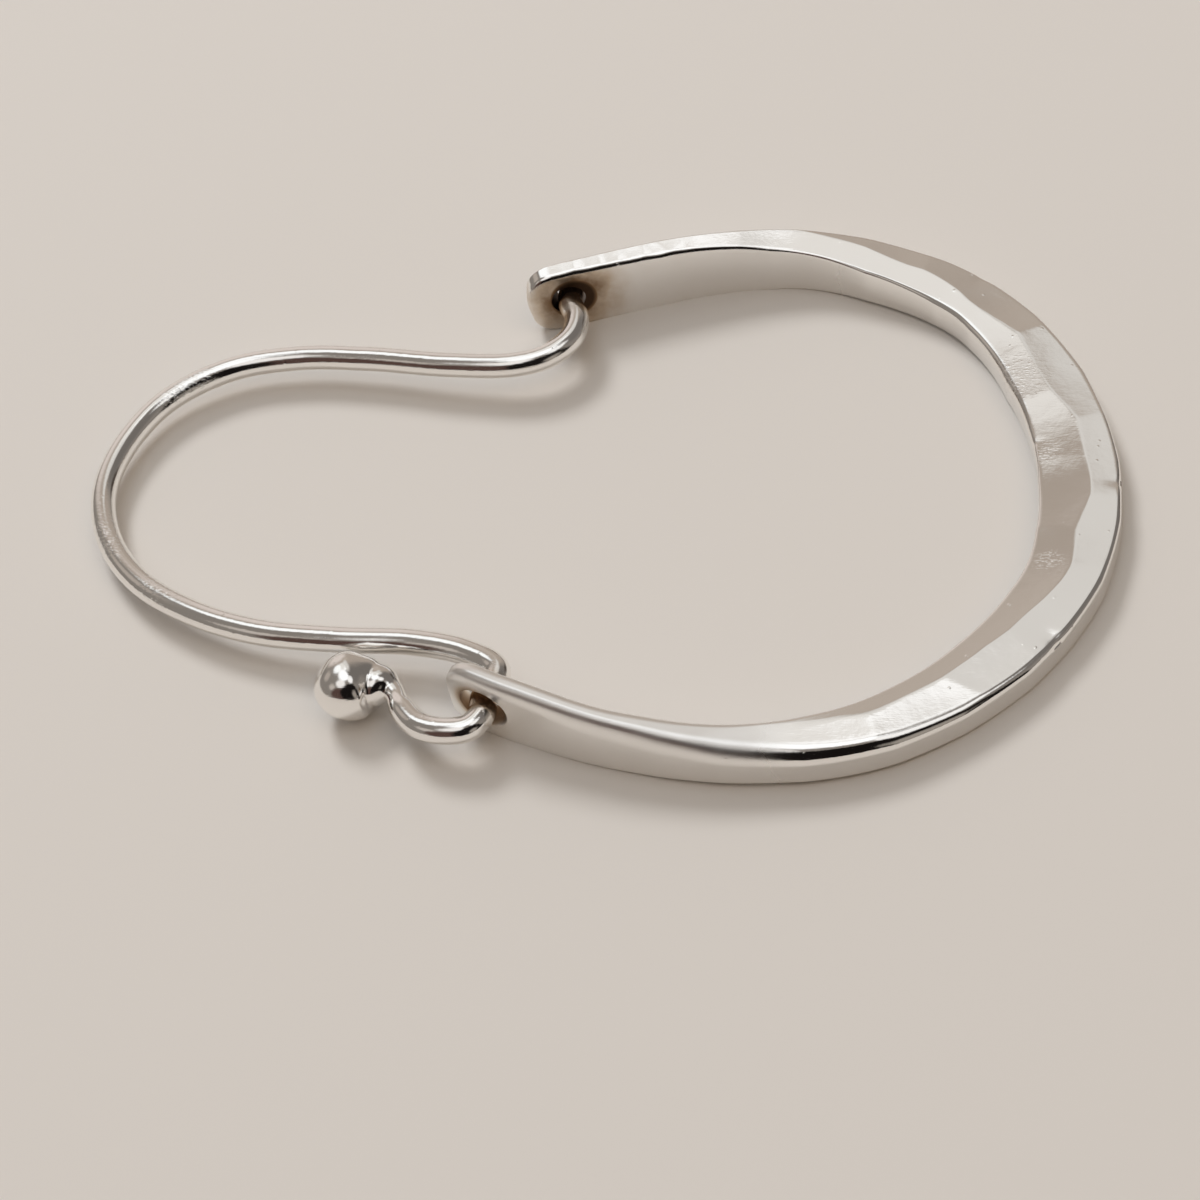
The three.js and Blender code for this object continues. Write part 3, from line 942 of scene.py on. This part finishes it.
# Round patches of light and dark, laid over the grey room in this order. Azimuth runs from
# straight ahead of the earring's far side (+Y) towards +X, and every angle is in degrees.
ROOM_PATCHES = [
    # name, azimuth, elevation, radius, softness of its rim, shade
    ("far wall", -12, 22, 36, 14, "a0958b"),
    ("doorway light", -31, 20, 19, 8, "cdc3bd"),
    ("pale door", -6, 33, 7, 6, "aca197"),
    ("right wall", 62, 42, 26, 10, "6a6561"),
    ("right corner", 45, 8, 9, 5, "453d38"),
    ("left panel", -82, 33, 10, 6, "a59c94"),
    ("near left panel", -132, 36, 9, 5, "b2aaa3"),
    ("brown screen", 197, 20, 22, 5, "4d3c37"),
    ("black curtain", 150, 20, 38, 2, "13100f"),
    ("black chair", 128, 6, 24, 3, "13100f"),
    ("back panel", 134, 14, 12, 6, "8f8880"),
    ("near softbox", 198, 60, 14, 4, "e6e3e1"),
    ("right softbox", 104, 62, 12, 4, "eeedec"),
    ("low window", 2, 45, 5, 3, "c9c6c2"),
    ("far window", 8, 58, 13, 5, "ccc9c5"),
    ("far softbox", -20, 65, 14, 2.5, "dbd8d4"),
    ("skylight", 12, 66, 4.5, 1, "f8f8f8"),
    ("left softbox", -52, 61, 12, 4, "f8fafb"),
    ("ceiling", 0, 90, 17, 4, "fdfeff"),
]
ROOM_STRENGTH = 1.12


def toward(azimuth, elevation):
    """Unit vector of a direction given in degrees."""
    turn, rise = math.radians(azimuth), math.radians(elevation)
    return (math.sin(turn) * math.cos(rise), math.cos(turn) * math.cos(rise), math.sin(rise))


def light_room():
    """A world shader that lays the patches over the walls, one after the other."""
    world = bpy.data.worlds.new("room")
    bpy.context.scene.world = world
    world.use_nodes = True
    tree = world.node_tree
    tree.nodes.clear()
    direction = add_node(tree, "ShaderNodeTexCoord").outputs["Generated"]
    shade = add_node(tree, "ShaderNodeRGB").outputs[0]
    shade.default_value = colour(WALL_SHADE)
    for name, azimuth, elevation, radius, softness, patch_shade in ROOM_PATCHES:
        near = add_node(tree, "ShaderNodeVectorMath", {0: direction}, operation="DOT_PRODUCT")
        near.inputs[1].default_value = toward(azimuth, elevation)
        rim = math.cos(math.radians(radius + softness))
        core = math.cos(math.radians(radius - softness))
        mask = between(tree, near.outputs["Value"], rim, core, smooth=True)
        mixed = add_node(tree, "ShaderNodeMixRGB", {"Fac": mask, "Color1": shade})
        mixed.label = name
        mixed.inputs["Color2"].default_value = colour(patch_shade)
        shade = mixed.outputs[0]
    background = add_node(tree, "ShaderNodeBackground", {"Color": shade}, Strength=ROOM_STRENGTH)
    add_node(tree, "ShaderNodeOutputWorld", {"Surface": background.outputs[0]})


LAMPS = [
    # the direction that each lamp shines from, its distance and size in metres, and its watts
    dict(name="key_lamp", come_from=(-0.40, 0.55, 0.73), distance=0.6, size=0.20, power=1.45,
         shade="fffdfb"),
    dict(name="warm_fill", come_from=(0.5, -0.35, 0.8), distance=1.0, size=0.9, power=1.3,
         shade="ffd39c"),
]


def soft_lamp(name, come_from, distance, size, power, shade):
    """A round lamp aimed at the earring, which lights the floor but shows in no reflection."""
    come_from = Vector(come_from).normalized()
    bpy.ops.object.light_add(type="AREA", location=come_from * distance)
    lamp = bpy.context.object
    lamp.name = name
    lamp.data.shape = "DISK"
    lamp.data.size = size
    lamp.data.energy = power
    lamp.data.color = colour(shade)[:3]
    lamp.rotation_euler = (-come_from).to_track_quat("-Z", "Y").to_euler()
    lamp.visible_glossy = False


light_room()
for lamp in LAMPS:
    soft_lamp(**lamp)
print("patches in the room", len(ROOM_PATCHES), "lamps", len(LAMPS))

# %% [markdown]
# The floor is a plain pale board. It is made far larger than the view, because the silver's
# walls reflect it. The Standard view shows all colours as they are, with no film curve over them.

# %% Floor
FLOOR_SIZE = 1.5
FLOOR_SHADE = "e6e4e1"


def lay_floor():
    """A matt board at the height that the earring lies on."""
    bpy.ops.object.select_all(action="DESELECT")
    bpy.ops.mesh.primitive_plane_add(size=FLOOR_SIZE, location=(0, 0, 0))
    floor = bpy.context.object
    floor.name = "floor"
    material = new_material("pale_matt_board")
    tree = material.node_tree
    shader = add_node(tree, "ShaderNodeBsdfPrincipled", Roughness=0.8)
    shader.inputs["Base Color"].default_value = colour(FLOOR_SHADE)
    shader.inputs["Specular IOR Level"].default_value = 0.2
    add_node(tree, "ShaderNodeOutputMaterial", {"Surface": shader.outputs[0]})
    floor.data.materials.append(material)


lay_floor()
bpy.context.scene.view_settings.view_transform = "Standard"

# %% [markdown]
# Last, each piece is tied to the body it moves with, and stands for its solid in the frame. The
# hoop is the still body. The ear wire swings about the line through the two holes.

# %% Tie the pieces to the frame
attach(hoop, "hoop_body")
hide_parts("hoop")
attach(wire, "ear_wire_body")
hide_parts("ear_wire")
